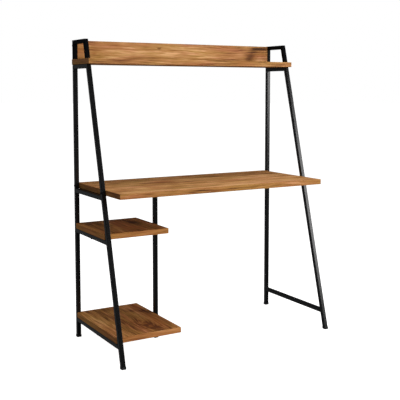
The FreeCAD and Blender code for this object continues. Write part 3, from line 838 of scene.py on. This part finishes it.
class Growth(Nodes):
    """A Geometry Nodes tree with named inputs."""

    def __init__(self, name, **sockets):
        super().__init__(bpy.data.node_groups.new(name, "GeometryNodeTree"))
        self.keys = {}
        for label, kind in {"Geometry": "Geometry", **sockets}.items():
            self.keys[label] = self.socket(label, kind, "INPUT").identifier
        self.socket("Geometry", "Geometry", "OUTPUT")

    def socket(self, label, kind, way):
        return self.tree.interface.new_socket(label, in_out=way, socket_type="NodeSocket" + kind)

    def given(self, label):
        """One of the tree's inputs."""
        return self.node("NodeGroupInput", output=label)

    def close(self, instances):
        """End the tree in real geometry with the given finish."""
        real = self.node("GeometryNodeRealizeInstances", None, {0: instances})
        painted = self.node("GeometryNodeSetMaterial", None,
                            {"Geometry": real, "Material": self.given("Finish")})
        self.node("NodeGroupOutput", None, {0: painted})

    def grow(self, name, seed_mesh, values):
        """Run the tree on a seed mesh and return the result as a plain mesh object."""
        carrier = new_object(name + "_seed", seed_mesh)
        modifier = carrier.modifiers.new("growth", "NODES")
        modifier.node_group = self.tree
        for label, value in values.items():
            modifier[self.keys[label]] = value
        bpy.context.view_layer.update()
        shown = carrier.evaluated_get(bpy.context.evaluated_depsgraph_get())
        mesh = bpy.data.meshes.new_from_object(shown)
        carrier.modifiers.remove(modifier)
        bpy.data.objects.remove(carrier)
        return new_object(name, mesh)


def new_object(name, data):
    made = bpy.data.objects.new(name, data)
    bpy.context.scene.collection.objects.link(made)
    return made


def points_with_facing(name, seats):
    """Mesh of single points, each with the way that its fastener points."""
    mesh = bpy.data.meshes.new(name)
    mesh.from_pydata([seat for seat, direction, extent in seats], [], [])
    facing = mesh.attributes.new("facing", "FLOAT_VECTOR", "POINT")
    for value, (seat, direction, extent) in zip(facing.data, seats):
        value.vector = direction
    return mesh


def fastener_growth():
    """Tree that stands a fastener on each point, turned to the point's facing."""
    growth = Growth("fasteners_on_points", Fastener="Object", Size="Float", Finish="Material")
    facing = growth.node("GeometryNodeInputNamedAttribute", {"data_type": "FLOAT_VECTOR"},
                         {"Name": "facing"})
    turn = growth.node("FunctionNodeAlignRotationToVector", {"axis": "Z"}, {"Vector": facing})
    source = growth.node("GeometryNodeObjectInfo", None,
                         {"Object": growth.given("Fastener"), "As Instance": True}, "Geometry")
    growth.close(growth.node("GeometryNodeInstanceOnPoints", None, {
        "Points": growth.given("Geometry"), "Instance": source, "Rotation": turn,
        "Scale": growth.given("Size")}))
    return growth


def bead_growth():
    """Tree that lays overlapping ripples of weld along each edge."""
    growth = Growth("weld_beads", Ripple="Float", Width="Float", Finish="Material")
    path = growth.node("GeometryNodeMeshToCurve", None, {0: growth.given("Geometry")})
    dots = growth.node("GeometryNodeResampleCurve", {"mode": "LENGTH"},
                       {"Curve": path, "Length": growth.given("Ripple")})
    ball = growth.node("GeometryNodeMeshUVSphere", None, {"Segments": 10, "Rings": 6, "Radius": 0.5})
    swell = growth.node("FunctionNodeRandomValue", {"data_type": "FLOAT"},
                        {LOW_FLOAT: SWELL_LOW, HIGH_FLOAT: SWELL_HIGH, "Seed": 4}, RANDOM_FLOAT)
    growth.close(growth.node("GeometryNodeInstanceOnPoints", None, {
        "Points": dots, "Instance": ball, "Scale": growth.given("Width") * swell}))
    return growth


def adopt(piece, slot, *replaced):
    """Let a finished piece ride on the desk and hide the nodes that it stands for. The slot is not
    used.
    """
    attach(piece, BODY)
    for node in replaced:
        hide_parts(node)


def fastener_seats(node, axis, head_side, head_height):
    """Seat under the head, direction and extent of each fastener in a node."""
    seats = []
    for low, high in solids_of(node):
        seat = (low + high) / 2.0
        side = head_side(seat)
        direction = Vector()
        direction[axis] = -side
        head_end = high if side > 0 else low
        seat[axis] = head_end[axis] - side * head_height
        seats.append((seat, direction, high - low))
    return seats


def outward(middle):
    return RIGHT if middle.x > 0 else LEFT


BOLT_SHANK_RADIUS = 3.0 * MM
SCREW_SHANK_RADIUS = 2.0 * MM

# Axis of each row of fasteners, the side of their heads on it and the heads' height.
BOLT_ROWS = {
    "desk_bolts": (X, outward, 3.3 * MM),
    "panel_bolts": (X, outward, 3.3 * MM),
    "rail_bolts": (Z, lambda middle: -1, 5.3 * MM),
    "post_bolts": (X, lambda middle: 1, 3.3 * MM),
}
SCREW_ROWS = {
    "desk_plate_screws": (Z, lambda middle: -1, 2.4 * MM),
    "post_plate_screws": (Z, lambda middle: -1, 2.4 * MM),
}

# No fastener lies along Y, so that is where a head shows its width.
ACROSS_ROWS = Y


def make_fasteners(parts, rows, pattern_maker, shank_radius, finish, slot):
    """Replace each row of plain fasteners with detailed ones."""
    growth = fastener_growth()
    for node, (axis, head_side, head_height) in rows.items():
        seats = fastener_seats(node, axis, head_side, head_height)
        _, _, extent = seats[0]
        head_radius = extent[ACROSS_ROWS] / 2.0
        shank_length = extent[axis] - head_height
        mesh = pattern_maker(parts, head_radius, head_height, shank_radius, shank_length)
        pattern = new_object(node + "_pattern", mesh)
        seed_mesh = points_with_facing(node + "_points", seats)
        values = {"Fastener": pattern, "Size": 1.0, "Finish": finish}
        piece = growth.grow(node + "_detailed", seed_mesh, values)
        bpy.data.objects.remove(pattern)
        adopt(piece, slot, node)


class DESK_OT_bolts(Operator):
    """Make the button-head bolts of desktop, panel, rails and post"""
    bl_idname = "desk.bolts"
    bl_label = "Bolts"

    def execute(self, context):
        parts = context.scene.desk_parts
        finish = plated("black_bolt", parts.blackened, 0.36)
        make_fasteners(parts, BOLT_ROWS, button_bolt, BOLT_SHANK_RADIUS, finish, "black_bolt")
        return {"FINISHED"}


class DESK_OT_screws(Operator):
    """Make the wood screws of the support plates and the post's plate"""
    bl_idname = "desk.screws"
    bl_label = "Screws"

    def execute(self, context):
        parts = context.scene.desk_parts
        finish = plated("screw_zinc", parts.zinc, 0.32)
        make_fasteners(parts, SCREW_ROWS, wood_screw, SCREW_SHANK_RADIUS, finish, "zinc_steel")
        return {"FINISHED"}


# ---- Weld beads ----
TUBE_CORNER = 2.5 * MM


def leg_back(z):
    """Y of the leaning front legs' rear face at height z."""
    bottom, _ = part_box("left_bottom_rail")
    top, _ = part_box("left_desk_rail")
    lean = (top.y - bottom.y) / (top.z - bottom.z)
    return bottom.y + lean * (z - bottom.z)


def rail_seams(node):
    """Lines across a butted rail, above and below it, at both of its ends."""
    low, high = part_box(node)
    return [(low.x, high.x, y, z) for z in (low.z, high.z) for y in (leg_back(z), high.y)]


def corner_seams(node):
    """Lines in the two inner corners under a mitred bar."""
    low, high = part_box(node)
    wide = high.x - low.x
    return [(low.x, high.x, high.y - wide, low.z), (low.x, high.x, leg_back(low.z), low.z)]


class DESK_OT_welds(Operator):
    """Lay weld beads in the inner corners of the frames"""
    bl_idname = "desk.welds"
    bl_label = "Weld beads"

    def execute(self, context):
        parts = context.scene.desk_parts
        growth = bead_growth()
        steel = context.scene.desk_steel
        coat = powder_coat(steel, "weld_coat", steel.loop_gloss)
        values = {"Ripple": parts.bead_pitch, "Width": parts.bead_width, "Finish": coat}
        for side, name in SIDE_NAMES.items():
            rails = [name + "_desk_rail", name + "_bottom_rail"]
            if side == LEFT:
                rails.append("left_middle_rail")
            seams = [seam for rail in rails for seam in rail_seams(rail)]
            for bar in (name + "_top_rail", name + "_loop_top_bar"):
                seams += corner_seams(bar)
            piece = growth.grow(name + "_weld_beads", seam_mesh(name, seams), values)
            adopt(piece, "black_steel")
        return {"FINISHED"}


def seam_mesh(name, seams):
    """Mesh of one edge for each seam, stopped short of the tubes' rounded corners."""
    points, edges = [], []
    for x0, x1, y, z in seams:
        edges.append((len(points), len(points) + 1))
        points += [(x0 + TUBE_CORNER, y, z), (x1 - TUBE_CORNER, y, z)]
    mesh = bpy.data.meshes.new(name + "_seams")
    mesh.from_pydata(points, edges, [])
    return mesh


# ---- Closing strips: dark pieces in the slit that stand in for its shade ----
STRIP_WIDTH = 12.0 * MM
STRIP_THICKNESS = 2.4 * MM
STRIP_INSET = 0.3 * MM


class DESK_OT_strips(Operator):
    """Lay a thin dark plastic strip along each end of the desktop, over the slit beside the desk rail,
    to stand in for the slit's shade
    """
    bl_idname = "desk.strips"
    bl_label = "Closing strips"

    def execute(self, context):
        # Dark plastic for the strips, which stand in for shade in the slit.
        shade_strip_plastic = moulded_plastic(context.scene.desk_parts)
        desk_low, desk_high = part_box("desktop")
        for side, name in SIDE_NAMES.items():
            _, front_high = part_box(name + "_front_desk_plate")
            rear_low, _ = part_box(name + "_rear_desk_plate")
            edge = desk_low.x if side == LEFT else desk_high.x
            outer, inner = edge - side * STRIP_INSET, edge - side * STRIP_WIDTH
            low = (min(outer, inner), front_high.y, desk_low.z - STRIP_THICKNESS)
            high = (max(outer, inner), rear_low.y, desk_low.z)
            piece = new_object(name + "_closing_strip", box_mesh(name, low, high))
            piece.data.materials.append(shade_strip_plastic)
            adopt(piece, "foot_plastic")
        return {"FINISHED"}


def box_mesh(name, low, high):
    """Closed box between two corners."""
    shape = bmesh.new()
    bmesh.ops.create_cube(shape, size=1.0)
    for vert in shape.verts:
        vert.co = [low[axis] if vert.co[axis] < 0.0 else high[axis] for axis in (X, Y, Z)]
    return finished_mesh(name + "_strip", shape)


# ---- Stage ----
WHITE = (1.0, 1.0, 1.0, 1.0)
WARM_WHITE = (1.0, 0.98, 0.95, 1.0)
COOL_WHITE = (0.92, 0.96, 1.0, 1.0)
FLOOR_WHITE = (0.85, 0.85, 0.85, 1.0)
FLOOR_RADIUS = 60.0

# X and Z of a reflected ray's direction where the brighter part of the left wall begins and is full.
LEFT_WALL = (-0.10, -0.30)
LOW_WALL = (0.20, 0.05)


def white_floor(settings):
    """Large white floor that lights nothing and stays out of the desk's reflections."""
    shape = bmesh.new()
    bmesh.ops.create_circle(shape, cap_ends=True, segments=96, radius=FLOOR_RADIUS)
    floor = new_object("floor", finished_mesh("floor", shape))
    shader = Shader("floor_white")
    surface = shader.finish({
        "Base Color": FLOOR_WHITE, "Roughness": 1.0, "Specular IOR Level": 0.0,
        "Emission Color": WHITE, "Emission Strength": settings.floor_glow})
    floor.data.materials.append(surface)
    floor.visible_glossy = False
    floor.visible_diffuse = False


def wall_sheen(room, settings):
    """Strength of the walls in reflections, which is higher at the lower left."""
    x, _, z = room.parts(room.node("ShaderNodeTexCoord", output="Generated"))
    low_left = room.rise(x, *LEFT_WALL, "LINEAR") * room.rise(z, *LOW_WALL, "LINEAR")
    return low_left * (settings.left_sheen - settings.sheen) + settings.sheen


def white_room(settings):
    """White walls for the eye, with a dimmer light on the desk and still dimmer reflections."""
    world = bpy.data.worlds.new("room")
    world.use_nodes = True
    world.node_tree.nodes.clear()
    room = Nodes(world.node_tree)
    shown = room.node("ShaderNodeBackground", None, {"Color": WARM_WHITE, "Strength": settings.room})
    sheen = room.node("ShaderNodeBackground", None,
                      {"Color": COOL_WHITE, "Strength": wall_sheen(room, settings)})
    seen = room.node("ShaderNodeBackground", None, {"Color": WHITE})
    for ray, surface in (("Is Glossy Ray", sheen), ("Is Camera Ray", seen)):
        is_ray = room.node("ShaderNodeLightPath", output=ray)
        shown = room.node("ShaderNodeMixShader", None, {0: is_ray, 1: shown, 2: surface})
    room.node("ShaderNodeOutputWorld", None, {"Surface": shown})
    bpy.context.scene.world = world


def softbox(name, place, target, width, height, power):
    """Rectangular area light that looks at a target."""
    data = bpy.data.lights.new(name, "AREA")
    data.shape = "RECTANGLE"
    data.size = width
    data.size_y = height
    data.energy = power
    lamp = new_object(name, data)
    lamp.location = place
    lamp.rotation_euler = (Vector(target) - Vector(place)).to_track_quat("-Z", "Y").to_euler()
    lamp.visible_camera = False
    return lamp


class DESK_OT_stage(Operator):
    """Set up floor, room, lights and camera"""
    bl_idname = "desk.stage"
    bl_label = "Stage"

    def execute(self, context):
        stage = context.scene.desk_stage
        white_floor(stage)
        white_room(stage)
        softbox("key_light", stage.key_place, stage.key_target, stage.key_width, stage.key_height,
                stage.key_power)
        softbox("top_light", stage.top_place, stage.middle, stage.top_width, stage.top_depth,
                stage.top_power)
        fill = softbox("fill_light", stage.fill_place, stage.middle, stage.fill_width,
                       stage.fill_height, stage.fill_power)
        fill.visible_glossy = False
        data = bpy.data.cameras.new("camera")
        data.lens = stage.lens
        data.shift_y = stage.lens_shift
        camera = new_object("camera", data)
        camera.location = stage.camera_place
        camera.rotation_euler = (math.pi / 2.0 - stage.camera_pitch, 0.0, -stage.camera_yaw)
        context.scene.camera = camera
        context.scene.view_settings.view_transform = "Standard"
        return {"FINISHED"}


# ---- Panel and registration ----
STEPS = (DESK_OT_boards, DESK_OT_frames, DESK_OT_feet, DESK_OT_inner_parts, DESK_OT_bolts,
         DESK_OT_screws, DESK_OT_welds, DESK_OT_strips, DESK_OT_stage)
SETTINGS = {"desk_wood": WoodSettings, "desk_steel": SteelSettings, "desk_parts": SmallPartSettings,
            "desk_stage": StageSettings}


class DESK_PT_sidebar(Panel):
    """Steps and settings of the desk"""
    bl_label = "Ladder desk"
    bl_idname = "DESK_PT_sidebar"
    bl_space_type = "VIEW_3D"
    bl_region_type = "UI"
    bl_category = "Desk"

    def draw(self, context):
        for step in STEPS:
            self.layout.operator(step.bl_idname)
        for name, group in SETTINGS.items():
            box = self.layout.box()
            for prop in group.__annotations__:
                box.prop(getattr(context.scene, name), prop)


def register():
    for group in SETTINGS.values():
        bpy.utils.register_class(group)
    for name, group in SETTINGS.items():
        setattr(bpy.types.Scene, name, PointerProperty(type=group))
    for step in STEPS:
        bpy.utils.register_class(step)
    bpy.utils.register_class(DESK_PT_sidebar)


def unregister():
    bpy.utils.unregister_class(DESK_PT_sidebar)
    for step in reversed(STEPS):
        bpy.utils.unregister_class(step)
    for name in SETTINGS:
        delattr(bpy.types.Scene, name)
    for group in reversed(SETTINGS.values()):
        bpy.utils.unregister_class(group)


def main():
    register()
    bpy.ops.desk.boards()
    bpy.ops.desk.frames()
    bpy.ops.desk.feet()
    bpy.ops.desk.inner_parts()
    bpy.ops.desk.bolts()
    bpy.ops.desk.screws()
    bpy.ops.desk.welds()
    bpy.ops.desk.strips()
    bpy.ops.desk.stage()


if __name__ == "__main__":
    main()
